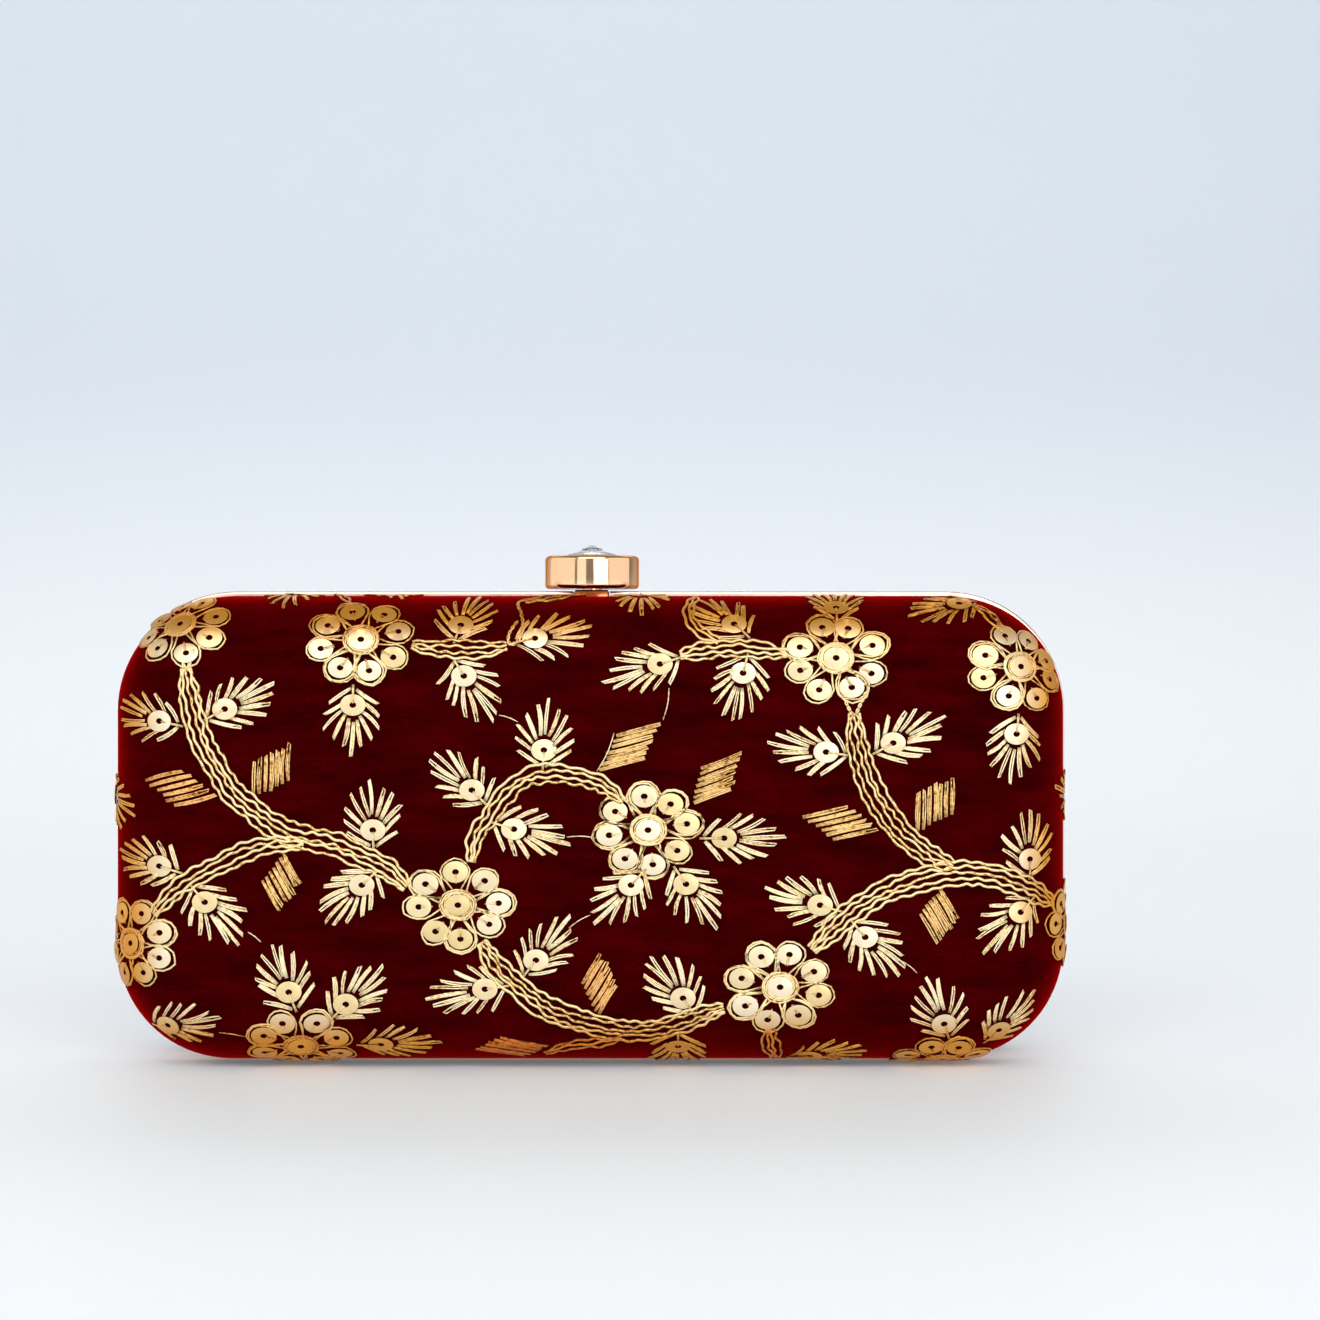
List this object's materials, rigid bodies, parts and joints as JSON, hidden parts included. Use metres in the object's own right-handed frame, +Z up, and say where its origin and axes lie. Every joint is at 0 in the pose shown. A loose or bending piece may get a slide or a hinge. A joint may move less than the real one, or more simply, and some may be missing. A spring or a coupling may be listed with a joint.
{
  "type": "box clutch purse",
  "caption": "Hard-shell evening clutch: velvet-covered halves in polished metal frames, hinged at the bottom, with a crystal push-button clasp on top.",
  "frame": {"origin": "middle of the frames' underside, on the parting plane", "axes": "+X along the clutch to the right as seen from the front, +Y to the back, +Z up"},
  "size_m": [0.2, 0.0514, 0.1089],
  "materials": {
    "rose_gold_plate": "polished rose-gold plate over brass",
    "maroon_velvet": "short-pile velvet, dark maroon",
    "moulded_shell": "moulded plastic shell",
    "satin_lining": "satin lining",
    "nickelled_steel": "nickel-plated spring steel",
    "cut_crystal": "clear cut crystal"
  },
  "bodies": {
    "back_half": {"back_frame": "rose_gold_plate", "back_shell": "moulded_shell", "back_velvet_cover": "maroon_velvet", "back_lining": "satin_lining", "hinge_pin_left": "nickelled_steel", "hinge_pin_right": "nickelled_steel", "clasp_neck": "rose_gold_plate", "clasp_drum": "rose_gold_plate", "clasp_backing_plate": "nickelled_steel", "clasp_ring_nut": "nickelled_steel", "latch_spring": "nickelled_steel", "button_spring": "nickelled_steel", "backing_rivet_left": "nickelled_steel", "backing_rivet_right": "nickelled_steel", "latch_rivet_inner": "nickelled_steel", "latch_rivet_outer": "nickelled_steel"},
    "front_half": {"front_frame": "rose_gold_plate", "front_shell": "moulded_shell", "front_velvet_cover": "maroon_velvet", "front_lining": "satin_lining", "strike_plate": "nickelled_steel", "strike_rivet_left": "nickelled_steel", "strike_rivet_right": "nickelled_steel"},
    "push_button": {"button_plunger": "rose_gold_plate", "crystal": "cut_crystal", "plunger_clip": "nickelled_steel"}
  },
  "joints": [
    {"name": "front_half_hinge", "type": "hinge", "parent": "back_half", "child": "front_half", "pos_m": [0, 0, 0.002], "axis": [1, 0, 0], "range_deg": [0, 90]},
    {"name": "crystal_press", "type": "slide", "parent": "back_half", "child": "push_button", "axis": [0, 0, -1], "range_m": [0, 0.0018], "stiffness_N_per_m": 800, "springref_m": -0.002, "deforming": ["button_spring", "latch_spring"]}
  ]
}
